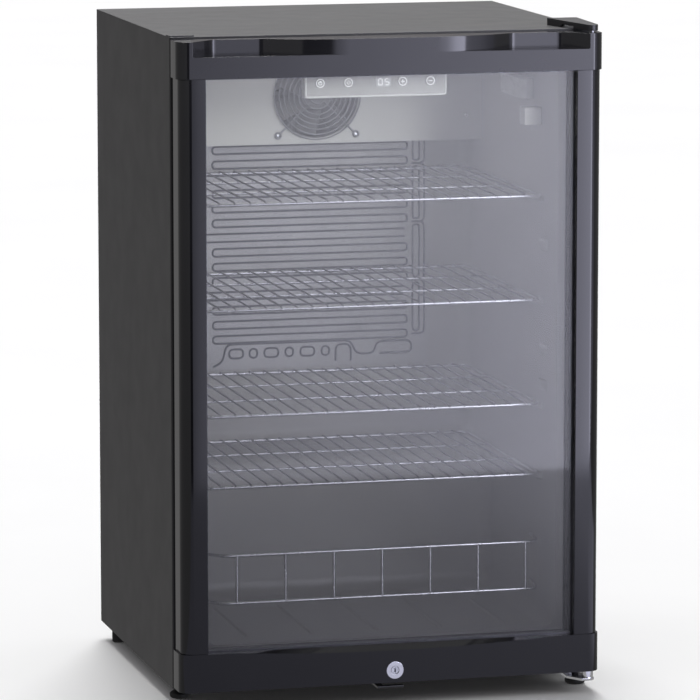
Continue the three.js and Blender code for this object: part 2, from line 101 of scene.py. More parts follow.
def surface(name, colour, rough, metallic=0.0, vary=0.08, patch=25.0, rough_vary=0.05,
            grain=None, grain_depth=0.0, stretch=(1, 1, 1), specular=0.5):
    """A finish with slow colour drift, a roughness map and an optional grain in its normal."""
    m = bpy.data.materials.new(name)
    m.use_nodes = True
    tree = m.node_tree
    p = tree.nodes["Principled BSDF"]
    coords = node(tree, "ShaderNodeTexCoord").outputs["Object"]
    dark = tuple(max(0, c * (1 - vary)) for c in colour)
    light = tuple(min(1, c * (1 + vary)) for c in colour)
    tree.links.new(ramp(tree, noise(tree, coords, patch, 4), [(0.3, dark), (0.7, light)]),
                   p.inputs["Base Color"])
    spread = node(tree, "ShaderNodeMapRange")
    spread.inputs["To Min"].default_value = max(0.02, rough - rough_vary)
    spread.inputs["To Max"].default_value = min(1, rough + rough_vary)
    tree.links.new(noise(tree, coords, patch * 3, 5, stretch), spread.inputs["Value"])
    tree.links.new(spread.outputs["Result"], p.inputs["Roughness"])
    p.inputs["Metallic"].default_value = metallic
    p.inputs["Specular IOR Level"].default_value = specular
    if grain:
        bump = node(tree, "ShaderNodeBump", Strength=0.6, Distance=grain_depth)
        tree.links.new(noise(tree, coords, grain, 3, stretch), bump.inputs["Height"])
        tree.links.new(bump.outputs["Normal"], p.inputs["Normal"])
    return m


CABINET_PAINT = surface("satin_black_sheet", (0.022, 0.022, 0.024), 0.42, vary=0.1, patch=9,
                        grain=900, grain_depth=4e-5, specular=0.4)
# Painted light: the top panel is the same satin black sheet as the sides. Its lighter base colour
# is painted light on the top; its lower roughness and stronger specular are gloss settings.
LIT_TOP_PAINT = surface("satin_black_top_painted_light", (0.03, 0.03, 0.032), 0.36, vary=0.1, patch=9,
                    grain=900, grain_depth=4e-5, specular=0.5)
FRAME_GLOSS = surface("gloss_black_frame", (0.012, 0.012, 0.015), 0.08, vary=0.12, patch=12,
                      rough_vary=0.02, grain=160, grain_depth=1e-5, specular=0.5)
LINER_WHITE = surface("liner_white", (0.50, 0.49, 0.50), 0.38, vary=0.03, patch=14,
                      grain=420, grain_depth=0.5e-5)
PANEL_WHITE = surface("panel_white", (0.60, 0.60, 0.62), 0.42, vary=0.03, patch=20,
                      grain=420, grain_depth=0.4e-5)
FASCIA_GREY = surface("fascia_grey", (0.52, 0.52, 0.54), 0.34, vary=0.03, patch=60)
FASCIA_RIM = surface("fascia_rim", (0.85, 0.86, 0.90), 0.3, vary=0.02, patch=60)
PRINT_WHITE_PAINTED_GLOW = surface("printed_white_painted_glow", (0.93, 0.94, 0.97), 0.4, vary=0.02, patch=300)
# Painted glow: the printed key symbols, the link lines and the fascia rim emit light so they stand
# out from the grey fascia, though none of them is a lamp. The display digits use the same printed
# material.
for lit, glow in ((PRINT_WHITE_PAINTED_GLOW, 0.55), (FASCIA_RIM, 0.10)):  # painted glow on the printed keys and the rim
    painted_glow_node = lit.node_tree.nodes["Principled BSDF"]
    painted_glow_node.inputs["Emission Color"].default_value = (0.93, 0.95, 1.0, 1)
    painted_glow_node.inputs["Emission Strength"].default_value = glow
# Painted shade: a dark copy of the plate metal for the raised channel outlines, standing for the
# shade in the grooves beside them.
CHANNEL_PAINTED_SHADE = surface("channel_painted_shade", (0.09, 0.09, 0.11), 0.5, 0.3, vary=0.08, patch=40)
EVAPORATOR = surface("rolled_aluminium", (0.46, 0.455, 0.47), 0.42, 0.4, vary=0.08, patch=18,
                     grain=300, grain_depth=5e-5, stretch=(1, 1, 6))
WIRE = surface("bright_wire", (0.70, 0.70, 0.73), 0.26, 0.9, vary=0.06, patch=120)
GUARD_WIRE = surface("dull_wire", (0.26, 0.265, 0.29), 0.45, 0.4, vary=0.06, patch=120)
# Painted shade: the long shelf bars are the same bright wire as the frame, given this dark copy so
# that they read as shaded lines.
BAR_WIRE_PAINTED_SHADE = surface("bar_wire_painted_shade", (0.10, 0.10, 0.12), 0.34, 0.6, vary=0.06, patch=120)
CHROME = surface("chrome", (0.86, 0.87, 0.89), 0.12, 1.0, vary=0.04, patch=160, rough_vary=0.04)
ZINC = surface("zinc_plate", (0.50, 0.51, 0.53), 0.42, 1.0, vary=0.14, patch=60, rough_vary=0.12,
               grain=500, grain_depth=5e-5)
COPPER = surface("copper_tube", (0.60, 0.27, 0.15), 0.34, 1.0, vary=0.2, patch=90,
                 rough_vary=0.1)
RUBBER = surface("seal_rubber", (0.012, 0.012, 0.013), 0.62, vary=0.15, patch=50,
                 grain=1200, grain_depth=5e-5, specular=0.35)
FAN_GREY = surface("fan_grey", (0.20, 0.20, 0.215), 0.5, vary=0.1, patch=40,
                   grain=1400, grain_depth=3e-5)
DARK_ABS = surface("moulded_black", (0.014, 0.014, 0.016), 0.46, vary=0.12, patch=40,
                   grain=1400, grain_depth=5e-5)
COVER_ABS = surface("cover_black", (0.02, 0.02, 0.023), 0.34, vary=0.1, patch=40,
                    grain=1400, grain_depth=4e-5)
MACHINE_BLACK = surface("machine_enamel", (0.016, 0.016, 0.017), 0.3, vary=0.2, patch=40,
                        grain=260, grain_depth=8e-5)
FOAM = surface("insulation_foam", (0.70, 0.60, 0.34), 0.9, vary=0.15, patch=70,
               grain=500, grain_depth=3e-4)
SPACER = surface("spacer_bar", (0.10, 0.10, 0.115), 0.4, 0.7, vary=0.1, patch=60,
                 grain=800, grain_depth=4e-5)
SENSOR_WHITE = surface("sensor_white", (0.90, 0.90, 0.92), 0.4, vary=0.02, patch=60)
LAMP = surface("lamp_diffuser", (0.80, 0.81, 0.84), 0.28, vary=0.02, patch=60)
DISPLAY = surface("display_lens", (0.78, 0.79, 0.84), 0.12, vary=0.04, patch=200)


def glass_material(name, tint, gloss_rough, film):
    """Thin pane: clear, with a Fresnel sheen and a faint uneven film."""
    m = bpy.data.materials.new(name)
    m.use_nodes = True
    tree = m.node_tree
    tree.nodes.clear()
    out = node(tree, "ShaderNodeOutputMaterial")
    clear = node(tree, "ShaderNodeBsdfTransparent", Color=(*tint, 1))
    gloss = node(tree, "ShaderNodeBsdfGlossy", Color=(1, 1, 1, 1), Roughness=gloss_rough)
    haze = node(tree, "ShaderNodeBsdfDiffuse", Color=(0.8, 0.82, 0.86, 1))
    fresnel = node(tree, "ShaderNodeFresnel", IOR=1.35)
    coords = node(tree, "ShaderNodeTexCoord").outputs["Object"]
    amount = node(tree, "ShaderNodeMapRange")
    amount.inputs["To Min"].default_value = film * 0.7
    amount.inputs["To Max"].default_value = film * 1.3
    tree.links.new(noise(tree, coords, 5, 3), amount.inputs["Value"])
    first = node(tree, "ShaderNodeMixShader")
    second = node(tree, "ShaderNodeMixShader")
    tree.links.new(amount.outputs["Result"], first.inputs["Fac"])
    tree.links.new(clear.outputs["BSDF"], first.inputs[1])
    tree.links.new(haze.outputs["BSDF"], first.inputs[2])
    tree.links.new(fresnel.outputs["Fac"], second.inputs["Fac"])
    tree.links.new(first.outputs["Shader"], second.inputs[1])
    tree.links.new(gloss.outputs["BSDF"], second.inputs[2])
    tree.links.new(second.outputs["Shader"], out.inputs["Surface"])
    return m


GLASS = glass_material("clear_pane", (0.945, 0.947, 0.938), 0.03, 0.02)


# ---------------------------------------------------------------- mesh helpers


def new_object(name, bm, material, smooth_angle=40):
    mesh = bpy.data.meshes.new(name)
    bm.normal_update()
    bm.to_mesh(mesh)
    bm.free()
    obj = bpy.data.objects.new(name, mesh)
    bpy.context.scene.collection.objects.link(obj)
    mesh.materials.append(material)
    shade(obj, smooth_angle)
    return obj


def shade(obj, angle=40):
    """Smooth shading with sharp edges above the angle."""
    mesh = obj.data
    for polygon in mesh.polygons:
        polygon.use_smooth = True
    bm = bmesh.new()
    bm.from_mesh(mesh)
    limit = math.radians(angle)
    for e in bm.edges:
        e.smooth = len(e.link_faces) == 2 and e.calc_face_angle(0) < limit
    bm.to_mesh(mesh)
    bm.free()


def place(obj, body, slot, *nodes):
    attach(obj, body)
    if nodes:
        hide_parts(*nodes)
    return obj


def body_of(name):
    return NODES[name]["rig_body"]


def slot_of(name):
    for s in frame["record"]["subparts"]:
        if s["node"] == name:
            return s["material_slot"]
    raise KeyError(name)


def apply_modifiers(obj):
    graph = bpy.context.evaluated_depsgraph_get()
    mesh = bpy.data.meshes.new_from_object(obj.evaluated_get(graph))
    obj.modifiers.clear()
    obj.data = mesh


def refined(name, material, bevel=0.6, segments=2, angle=35):
    """The CAD node with its facets merged and its edges eased, standing for the node."""
    bm = bmesh.new()
    bm.from_mesh(NODES[name].data)
    bmesh.ops.remove_doubles(bm, verts=bm.verts, dist=2e-6)
    bmesh.ops.dissolve_limit(bm, angle_limit=math.radians(1.0), verts=bm.verts, edges=bm.edges)
    obj = new_object(name + "_finished", bm, material)
    if bevel:
        b = obj.modifiers.new("ease", "BEVEL")
        b.width = bevel * MM
        b.segments = segments
        b.limit_method = "ANGLE"
        b.angle_limit = math.radians(angle)
        b.use_clamp_overlap = True
        b.miter_outer = "MITER_ARC"
        apply_modifiers(obj)
    shade(obj, 38)
    even = obj.modifiers.new("even", "WEIGHTED_NORMAL")
    even.keep_sharp = True
    even.weight = 100
    apply_modifiers(obj)
    return place(obj, body_of(name), slot_of(name), name)


def repaint(name, material):
    mesh = NODES[name].data
    mesh.materials.clear()
    mesh.materials.append(material)


def frames_along(points, closed):
    """Tangent and two side vectors at each point, without twist."""
    n = len(points)
    tangents = []
    for i in range(n):
        a = points[i - 1] if closed or i else points[i]
        b = points[(i + 1) % n] if closed or i < n - 1 else points[i]
        tangents.append((b - a).normalized())
    side = tangents[0].orthogonal().normalized()
    result = []
    for t in tangents:
        side = (side - t * side.dot(t)).normalized()
        result.append((side, t.cross(side)))
    return result


def add_tube(bm, points, radius, sides=10, closed=False):
    """A round wire along the points, with domed ends unless closed."""
    points = [Vector(p) for p in points]
    axes = frames_along(points, closed)
    rings = []
    for p, (u, v) in zip(points, axes):
        rings.append([bm.verts.new(p + radius * (math.cos(a) * u + math.sin(a) * v))
                      for a in (2 * math.pi * k / sides for k in range(sides))])
    last = len(rings) if closed else len(rings) - 1
    for i in range(last):
        a, b = rings[i], rings[(i + 1) % len(rings)]
        for k in range(sides):
            bm.faces.new((a[k], a[(k + 1) % sides], b[(k + 1) % sides], b[k]))
    if not closed:
        bm.faces.new(rings[0][::-1])
        bm.faces.new(rings[-1])


def rounded_path(corners, radius, steps=5, closed=False):
    """Straight runs through the corners with each corner turned on an arc-like curve."""
    corners = [Vector(c) for c in corners]
    n = len(corners)
    path = []
    for i, c in enumerate(corners):
        if not closed and i in (0, n - 1):
            path.append(c)
            continue
        a, b = corners[i - 1], corners[(i + 1) % n]
        ra = min(radius, (a - c).length * 0.49)
        rb = min(radius, (b - c).length * 0.49)
        start, end = c + (a - c).normalized() * ra, c + (b - c).normalized() * rb
        for k in range(steps + 1):
            t = k / steps
            path.append(start * (1 - t) ** 2 + c * 2 * t * (1 - t) + end * t * t)
    return path


def circle_points(centre, radius, count=48):
    """A circle that faces the door."""
    angles = (2 * math.pi * k / count for k in range(count))
    return [Vector(centre) + Vector((radius * math.cos(a), 0, radius * math.sin(a)))
            for a in angles]


def add_prism(bm, outline, y0, y1):
    """Closed solid of an (x, z) outline between two planes of constant y."""
    near = [bm.verts.new((x, y0, z)) for x, z in outline]
    far = [bm.verts.new((x, y1, z)) for x, z in outline]
    bm.faces.new(near)
    bm.faces.new(far[::-1])
    n = len(outline)
    for i in range(n):
        bm.faces.new((near[(i + 1) % n], near[i], far[i], far[(i + 1) % n]))


def capsule(x0, x1, z0, z1, radius, steps=6):
    """Outline of a rounded rectangle."""
    out = []
    for cx, cz, start in ((x1 - radius, z1 - radius, 0), (x0 + radius, z1 - radius, 90),
                          (x0 + radius, z0 + radius, 180), (x1 - radius, z0 + radius, 270)):
        for k in range(steps + 1):
            a = math.radians(start + 90 * k / steps)
            out.append((cx + radius * math.cos(a), cz + radius * math.sin(a)))
    return out


def recalc(bm):
    bmesh.ops.recalc_face_normals(bm, faces=bm.faces)


# ---------------------------------------------------------------- wire goods


SHELF_LEVELS = (0.625, 0.492, 0.358, 0.2675)
SHELF_HALF = 0.219
SHELF_FRONT = FRONT + 0.040
SHELF_DEPTH = 0.338
SHELF_BARS = 21


def wire_shelf(index, z):
    """A frame wire, two wires across under the bars, and bars that turn down at the front."""
    bm = bmesh.new()
    x, y0, y1 = SHELF_HALF, SHELF_FRONT, SHELF_FRONT + SHELF_DEPTH
    loop = rounded_path([(-x, y0, z), (x, y0, z), (x, y1, z), (-x, y1, z)], 0.012, closed=True)
    add_tube(bm, loop, 0.0023, 12, closed=True)
    for y in (y0 + 0.118, y0 + 0.234):
        add_tube(bm, [(-x, y, z), (x, y, z)], 0.0016, 8)
    frame_faces = len(bm.faces)
    for i in range(1, SHELF_BARS + 1):
        bar = -x + 2 * x * i / (SHELF_BARS + 1)
        top = z + 0.0030
        path = rounded_path([(bar, y0 - 0.0022, z + 0.0006), (bar, y0 + 0.004, top),
                             (bar, y1 + 0.0005, top)], 0.004, 4)
        add_tube(bm, path, 0.0012, 8)
    # The bars take the dark wire material: painted shade on the same wire as the frame and the
    # wires across.
    bm.faces.ensure_lookup_table()
    for f in bm.faces[frame_faces:]:
        f.material_index = 1
    obj = new_object(f"shelf_{index}_wires", bm, WIRE, 60)
    obj.data.materials.append(BAR_WIRE_PAINTED_SHADE)
    place(obj, "cabinet", "chrome", f"wire_shelf_{index}")


for number, level in enumerate(SHELF_LEVELS, 1):
    wire_shelf(number, level)


GUARD_RAILS = (0.180, 0.119)
GUARD_POSTS, GUARD_FIRST, GUARD_PITCH = 7, -0.178, 0.0632


def front_guard():
    """Two rails with ends bent back to the walls, joined by upright posts."""
    bm = bmesh.new()
    y = FRONT + 0.040
    for z in GUARD_RAILS:
        path = rounded_path([(-0.224, y + 0.052, z), (-0.213, y + 0.022, z), (-0.196, y, z),
                             (0.215, y, z), (0.221, y + 0.022, z), (0.224, y + 0.052, z)], 0.010)
        add_tube(bm, path, 0.0021, 10)
    for i in range(GUARD_POSTS):
        x = GUARD_FIRST + i * GUARD_PITCH
        add_tube(bm, [(x, y - 0.0005, 0.1185), (x, y - 0.0005, 0.1805)], 0.0018, 10)
    obj = new_object("front_guard_wires", bm, WIRE, 60)
    place(obj, "cabinet", "chrome", "front_guard", "guard_hook_left", "guard_hook_right")


front_guard()

FAN_Z = 0.731
FAN_PANEL_Y = FRONT + 0.330
FAN_EYE = 0.0525  # screw eyes, left and right of the fan's axis and above and below it


def fan_guard():
    """Concentric rings on four arms that end in screw eyes."""
    bm = bmesh.new()
    y = FAN_PANEL_Y - 0.0040
    for i, r in enumerate((0.0583, 0.0515, 0.0450, 0.0385, 0.0320, 0.0255, 0.0185)):
        dome = 0.0 if i == 0 else 0.0010
        add_tube(bm, circle_points((0, y - dome, FAN_Z), r), 0.0010, 8, closed=True)
    add_tube(bm, circle_points((0, y - 0.001, FAN_Z), 0.0115, 32), 0.0010, 8, closed=True)
    for a in (45, 135, 225, 315):
        c, s = math.cos(math.radians(a)), math.sin(math.radians(a))
        arm_y = y + 0.0016
        arm = [(r * c, arm_y, FAN_Z + r * s) for r in (0.011, 0.0695)]
        add_tube(bm, arm, 0.0012, 8)
        eye = (math.copysign(FAN_EYE, c), arm_y, FAN_Z + math.copysign(FAN_EYE, s))
        add_tube(bm, circle_points(eye, 0.0040, 20), 0.0011, 8, closed=True)
    obj = new_object("fan_guard_wires", bm, GUARD_WIRE, 60)
    place(obj, "cabinet", "chrome", "fan_guard")


fan_guard()


def screw_heads(name, places, radius, body, material, slot):
    """Low domed heads with a shallow round recess, facing the door."""
    bm = bmesh.new()
    for x, y, z in places:
        rings = [(1.0, 0.0), (1.0, 0.25), (0.85, 0.42), (0.5, 0.55)]
        loops = []
        for share, rise in rings:
            loops.append([bm.verts.new((x + radius * share * math.cos(a), y - radius * rise,
                                        z + radius * share * math.sin(a)))
                          for a in (2 * math.pi * k / 16 for k in range(16))])
        for a, b in zip(loops, loops[1:]):
            for k in range(16):
                bm.faces.new((a[k], a[(k + 1) % 16], b[(k + 1) % 16], b[k]))
        bm.faces.new(loops[0][::-1])
        cap = bm.faces.new(loops[-1])
        bmesh.ops.inset_individual(bm, faces=[cap], thickness=radius * 0.15)
        for v in cap.verts:
            v.co.y += radius * 0.3
    recalc(bm)
    obj = new_object(name, bm, material, 50)
    return place(obj, body, slot)


eyes = [(sx * FAN_EYE, FAN_PANEL_Y - 0.0012, FAN_Z + sz * FAN_EYE)
        for sx in (-1, 1) for sz in (-1, 1)]
screw_heads("guard_screws", eyes, 0.0029, "cabinet", CHROME, "chrome")
screw_heads("fan_panel_screws",
            [(sx * 0.2035, FAN_PANEL_Y - 0.0001, 0.699) for sx in (-1, 1)],
            0.0032, "cabinet", CHROME, "chrome")


# ---------------------------------------------------------------- liner


def inner_liner():
    """Vacuum-formed tub: one skin with rounded corners, a step at the back and an outer flange."""
    y_front, y_back, y_hump = FRONT, FRONT + 0.395, FRONT + 0.295
    floor, top, step = 0.075, 0.797, 0.262
    outline = [(y_front, floor), (y_hump, floor + 0.0015), (y_hump + 0.0003, step),
               (y_back, step), (y_back, top - 0.002), (y_front, top)]

    def half(y):
        return 0.230 - 0.0047 * (y - y_front) / (y_back - y_front)

    bm = bmesh.new()
    left = [bm.verts.new((-half(y), y, z)) for y, z in outline]
    right = [bm.verts.new((half(y), y, z)) for y, z in outline]
    bm.faces.new(left)
    bm.faces.new(right[::-1])
    n = len(outline)
    front_face = None
    for i in range(n):
        f = bm.faces.new((left[(i + 1) % n], left[i], right[i], right[(i + 1) % n]))
        if i == n - 1:
            front_face = f
    recalc(bm)
    bm.edges.ensure_lookup_table()
    keep_sharp = set(front_face.edges)
    edges = [e for e in bm.edges if e not in keep_sharp]
    bmesh.ops.bevel(bm, geom=edges, offset=0.019, segments=7, profile=0.5, affect="EDGES",
                    clamp_overlap=True)
    mouth = [f for f in bm.faces if all(abs(v.co.y - y_front) < 1e-6 for v in f.verts)]
    bmesh.ops.delete(bm, geom=mouth, context="FACES")
    rim = [e for e in bm.edges if len(e.link_faces) == 1]
    made = bmesh.ops.extrude_edge_only(bm, edges=rim)["geom"]
    centre_z = 0.436
    for v in (g for g in made if isinstance(g, bmesh.types.BMVert)):
        dx, dz = v.co.x, v.co.z - centre_z
        grow = min(0.252 / max(abs(dx), 1e-9), 0.375 / max(abs(dz), 1e-9))
        v.co = Vector((dx * grow, y_front, centre_z + dz * grow))
    recalc(bm)
    for f in bm.faces:  # the skin is seen from the cold side
        if f.normal.y > 0.99 and f.calc_center_median().y > 0:
            bmesh.ops.reverse_faces(bm, faces=bm.faces)
            break
    obj = new_object("inner_liner_skin", bm, LINER_WHITE, 35)
    thick = obj.modifiers.new("wall", "SOLIDIFY")
    thick.thickness = 0.0018
    thick.offset = -1
    apply_modifiers(obj)
    shade(obj, 35)
    place(obj, "cabinet", "white_abs", "inner_liner")


inner_liner()


def wall_x(y):
    return 0.230 - 0.0047 * (y - FRONT) / 0.375


def add_ridge(bm, side, z, y0, y1, reach, height):
    """A moulded shelf ledge: a rounded bar that grows out of the side wall."""
    steps = 24
    sections = []
    for i in range(steps + 1):
        y = y0 + (y1 - y0) * i / steps
        swell = min(1, math.sin(math.pi * min(max((y - y0) / 0.03, 0), 0.5)),
                    math.sin(math.pi * min(max((y1 - y) / 0.03, 0), 0.5)))
        wall = wall_x(y) + 0.0008
        tip = wall - (reach * max(swell, 0.02))
        ring = []
        for dx, dz in ((0, -1), (0.45, -0.86), (0.85, -0.5), (1, 0.0), (1, 0.35), (0.85, 0.5),
                       (0, 0.5)):
            ring.append(bm.verts.new((side * (wall + (tip - wall) * dx), y,
                                      z - height / 3 + dz * height * 2 / 3)))
        sections.append(ring)
    for a, b in zip(sections, sections[1:]):
        for k in range(len(a) - 1):
            bm.faces.new((a[k], a[k + 1], b[k + 1], b[k]))
    bm.faces.new(sections[0])
    bm.faces.new(sections[-1][::-1])


def ledges():
    bm = bmesh.new()
    for side in (-1, 1):
        for level in SHELF_LEVELS:
            reach = wall_x(FRONT + 0.1) - 0.213
            end = FRONT + (0.362 if level > 0.3 else 0.288)
            add_ridge(bm, side, level - 0.0025, FRONT + 0.058, end, reach, 0.009)
        for level in (0.567, 0.432, 0.387):
            add_ridge(bm, side, level, FRONT + 0.040, FRONT + 0.075, 0.006, 0.016)
    recalc(bm)
    obj = new_object("liner_ledges", bm, LINER_WHITE, 50)
    place(obj, "cabinet", "white_abs")


ledges()


def floor_ribs():
    bm = bmesh.new()
    for x in (-0.164, -0.080, 0.004, 0.088, 0.172):
        section = [(-0.0032, 0), (-0.0022, 0.0022), (0, 0.0030), (0.0022, 0.0022), (0.0032, 0)]
        rings = []
        for y, rise in ((FRONT + 0.036, 0.05), (FRONT + 0.042, 1), (FRONT + 0.220, 1),
                        (FRONT + 0.226, 0.05)):
            rings.append([bm.verts.new((x + dx, y, 0.0750 + dz * rise)) for dx, dz in section])
        for a, b in zip(rings, rings[1:]):
            for k in range(4):
                bm.faces.new((a[k], a[k + 1], b[k + 1], b[k]))
    recalc(bm)
    obj = new_object("floor_ribs", bm, LINER_WHITE, 70)
    place(obj, "cabinet", "white_abs")


floor_ribs()


# ---------------------------------------------------------------- evaporator


def evaporator():
    """Roll-bonded plate: channels stand proud, and rounded islands between them stay flat."""
    y = FRONT + 0.395
    z_of = [0.4020 + 0.0194 * k for k in range(16)]
    bm = bmesh.new()
    add_prism(bm, capsule(-0.204, 0.170, 0.360, 0.712, 0.006), y - 0.0020, y)
    plate_faces = len(bm.faces)
    lip = y - 0.0026

    def island(x0, x1, z0, z1, radius):
        loop = [(px, lip, pz) for px, pz in capsule(x0, x1, z0, z1, radius, 5)]
        add_tube(bm, loop, 0.0014, 6, closed=True)

    for k, z in enumerate(z_of):
        if k % 4 == 3:  # a band between two circuits runs out to the left edge
            for edge in (-0.0052, 0.0052):
                add_tube(bm, [(-0.199, lip, z + edge), (0.136, lip, z + edge)], 0.0014, 6)
        else:
            island(-0.126, 0.140, z - 0.0050, z + 0.0050, 0.0046)
    for z0, z1 in ((0.405, 0.470), (0.478, 0.548), (0.556, 0.626), (0.634, 0.700)):
        island(0.1475, 0.1565, z0, z1, 0.0044)  # risers down the right side
        rim = rounded_path([(0.146, lip, z0 - 0.004), (0.1635, lip, z0 - 0.004),
                            (0.1635, lip, z1 + 0.004), (0.146, lip, z1 + 0.004)], 0.008, 5)
        add_tube(bm, rim, 0.0014, 6)
    for k, x in enumerate((-0.0945, -0.0710, -0.0465, -0.0220, 0.0028, 0.0275)):
        wide = 0.0095 if k % 2 == 0 else 0.0052
        island(x - wide, x + wide, 0.3765, 0.3885, 0.0050)
    arch = rounded_path([(0.0415, lip, 0.368), (0.0415, lip, 0.3905), (0.0625, lip, 0.3905),
                         (0.0625, lip, 0.368)], 0.009, 6)
    add_tube(bm, arch, 0.0014, 6)
    header = rounded_path([(-0.126, lip, 0.366), (-0.113, lip, 0.372), (-0.108, lip, 0.3955),
                           (0.062, lip, 0.3955), (0.070, lip, 0.3765), (0.094, lip, 0.3765),
                           (0.098, lip, 0.3925), (0.146, lip, 0.3925), (0.146, lip, 0.3765),
                           (0.102, lip, 0.3765)], 0.009, 6)
    add_tube(bm, header, 0.0015, 8)
    recalc(bm)
    # The outline tubes take the dark channel material: painted groove shade on the same aluminium
    # as the plate.
    bm.faces.ensure_lookup_table()
    for f in bm.faces[plate_faces:]:
        f.material_index = 1
    obj = new_object("evaporator_channels", bm, EVAPORATOR, 50)
    obj.data.materials.append(CHANNEL_PAINTED_SHADE)
    place(obj, "cabinet", "aluminium", "evaporator_plate")


evaporator()


# ---------------------------------------------------------------- controls


FASCIA_Y = FRONT + 0.029
STROKE = 0.0006  # half width of a printed line
BUTTON_X = (-0.072, -0.0355, 0.0345, 0.0705)
BUTTON_Z = 0.776


def fascia_rim():
    bm = bmesh.new()
    outline = capsule(-0.0905, 0.0905, 0.7585, 0.7950, 0.003, 4)
    add_tube(bm, [(x, FASCIA_Y + 0.0002, z) for x, z in outline], 0.0013, 8, closed=True)
    place(new_object("fascia_rim", bm, FASCIA_RIM, 60), "cabinet", "white_abs")


def button_symbols():
    """Each key has a ring. Inside it: a power mark, a diamond, a plus and a minus."""
    y, z = FASCIA_Y - 0.0014, BUTTON_Z
    for i, x in enumerate(BUTTON_X):
        bm = bmesh.new()
        add_tube(bm, circle_points((x, y, z), 0.0050, 28), STROKE, 6, closed=True)
        if i == 0:
            add_tube(bm, circle_points((x, y, z), 0.0021, 18), STROKE, 6, closed=True)
            add_tube(bm, [(x, y, z + 0.0005), (x, y, z + 0.0030)], STROKE, 6)
        elif i == 1:
            add_tube(bm, [(x - 0.0022, y, z), (x, y, z + 0.0025), (x + 0.0022, y, z),
                          (x, y, z - 0.0025)], STROKE, 6, closed=True)
        else:
            add_tube(bm, [(x - 0.0024, y, z), (x + 0.0024, y, z)], STROKE, 6)
        if i == 2:
            add_tube(bm, [(x, y, z - 0.0024), (x, y, z + 0.0024)], STROKE, 6)
        place(new_object(f"button_{i + 1}_symbol", bm, PRINT_WHITE_PAINTED_GLOW, 60),
              f"button_{i + 1}", "black_abs")


def link_lines():
    """A line above each pair of keys joins them."""
    bm = bmesh.new()
    y, low, high = FASCIA_Y - 0.0001, BUTTON_Z + 0.0075, BUTTON_Z + 0.0102
    for x0, x1 in (BUTTON_X[:2], BUTTON_X[2:]):
        corners = [(x0, y, low), (x0, y, high), (x1, y, high), (x1, y, low)]
        add_tube(bm, rounded_path(corners, 0.0012, 3), STROKE, 6)
    place(new_object("fascia_lines", bm, PRINT_WHITE_PAINTED_GLOW, 60), "cabinet", "white_abs")


def display_digits():
    """Two seven-segment digits."""
    y, z = FASCIA_Y - 0.0005, 0.7758
    w, h = 0.0024, 0.0038  # half width and half height of a digit
    segments = {"0": "abcdef", "5": "acdfg"}
    lines = {"a": ((-w, h), (w, h)), "b": ((w, h), (w, 0)), "c": ((w, 0), (w, -h)),
             "d": ((-w, -h), (w, -h)), "e": ((-w, 0), (-w, -h)), "f": ((-w, h), (-w, 0)),
             "g": ((-w, 0), (w, 0))}
    bm = bmesh.new()
    for x, digit in ((0.0058, "0"), (0.0142, "5")):
        for key in segments[digit]:
            a, b = (Vector((x + dx, y, z + dz)) for dx, dz in lines[key])
            gap = (b - a) * 0.12
            add_tube(bm, [a + gap, b - gap], STROKE, 6)
    place(new_object("display_digits", bm, PRINT_WHITE_PAINTED_GLOW, 60), "cabinet", "gloss_black")


fascia_rim()
button_symbols()
link_lines()
display_digits()


def control_box():
    """Moulded box behind the fascia: a full-width collar with a pocket, then a slimmer body."""
    bm = bmesh.new()
    y0, y1, y2 = FASCIA_Y + 0.002, FASCIA_Y + 0.016, FASCIA_Y + 0.066  # front, step, back
    x, low, high = 0.0915, 0.7575, 0.7963
    outer = capsule(-x, x, low, high, 0.0012, 2)
    pocket = capsule(-x + 0.0055, x - 0.0055, low + 0.0045, high - 0.0043, 0.0012, 2)
    slim = capsule(-0.064, 0.076, low + 0.002, high, 0.0012, 2)

    def ring(outline, y):
        return [bm.verts.new((px, y, pz)) for px, pz in outline]

    loops = [ring(pocket, y1 - 0.002), ring(pocket, y0), ring(outer, y0), ring(outer, y1),
             ring(slim, y1), ring(slim, y2)]
    for a, b in zip(loops, loops[1:]):
        for k in range(len(a)):
            j = (k + 1) % len(a)
            bm.faces.new((a[k], a[j], b[j], b[k]))
    bm.faces.new(loops[0])
    bm.faces.new(loops[-1])
    recalc(bm)
    obj = new_object("control_box_body", bm, PANEL_WHITE, 40)
    place(obj, "cabinet", "white_abs", "control_housing")


control_box()


# ---------------------------------------------------------------- finished CAD pieces


for names, material, bevel in (
    (("side_panel_left", "side_panel_right", "rear_panel", "base_pan"), CABINET_PAINT, 0.35),
    (("top_panel",), LIT_TOP_PAINT, 0.35),
    (("lock_strike",), MACHINE_BLACK, 0.6),
    (("stile_left", "stile_right", "bottom_rail", "top_rail"), FRAME_GLOSS, 1.0),
    (("fan_panel",), PANEL_WHITE, 0.6),
    (("sensor_cover",), SENSOR_WHITE, 1.6),
    (("control_fascia",), FASCIA_GREY, 0.5),
    (("led_lamp",), LAMP, 1.6),
    (("display_window",), DISPLAY, 0.3),
    (("button_1", "button_2", "button_3", "button_4"), FASCIA_GREY, 0.5),
    (("hinge_cover", "hinge_blank_cap"), COVER_ABS, 0.9),
    (("fan_housing", "fan_rotor"), FAN_GREY, 0.6),
    (("relay_box", "evaporation_tray"), DARK_ABS, 0.6),
    (("bottom_hinge_bracket", "lock_barrel"), CHROME, 0.5),
    (("lock_plug", "top_hinge_bracket", "lock_cam", "machine_bay_wall", "compressor_bracket"),
     ZINC, 0.3),
    (("compressor", "condenser_coil"), MACHINE_BLACK, 0.8),
    (("foot_front_left", "foot_front_right", "foot_rear_left", "foot_rear_right"), RUBBER, 0.6),
    (("filter_drier",), COPPER, 0.6),
):
    for name in names:
        refined(name, material, bevel)

for name in ("insulation_shell", "insulation_floor", "insulation_hump"):
    repaint(name, FOAM)
for name in ("discharge_pipe", "suction_pipe"):
    refined(name, COPPER, 0)
repaint("rear_grille", CABINET_PAINT)
repaint("outer_glass", GLASS)
repaint("inner_glass", GLASS)
repaint("glass_spacer", SPACER)


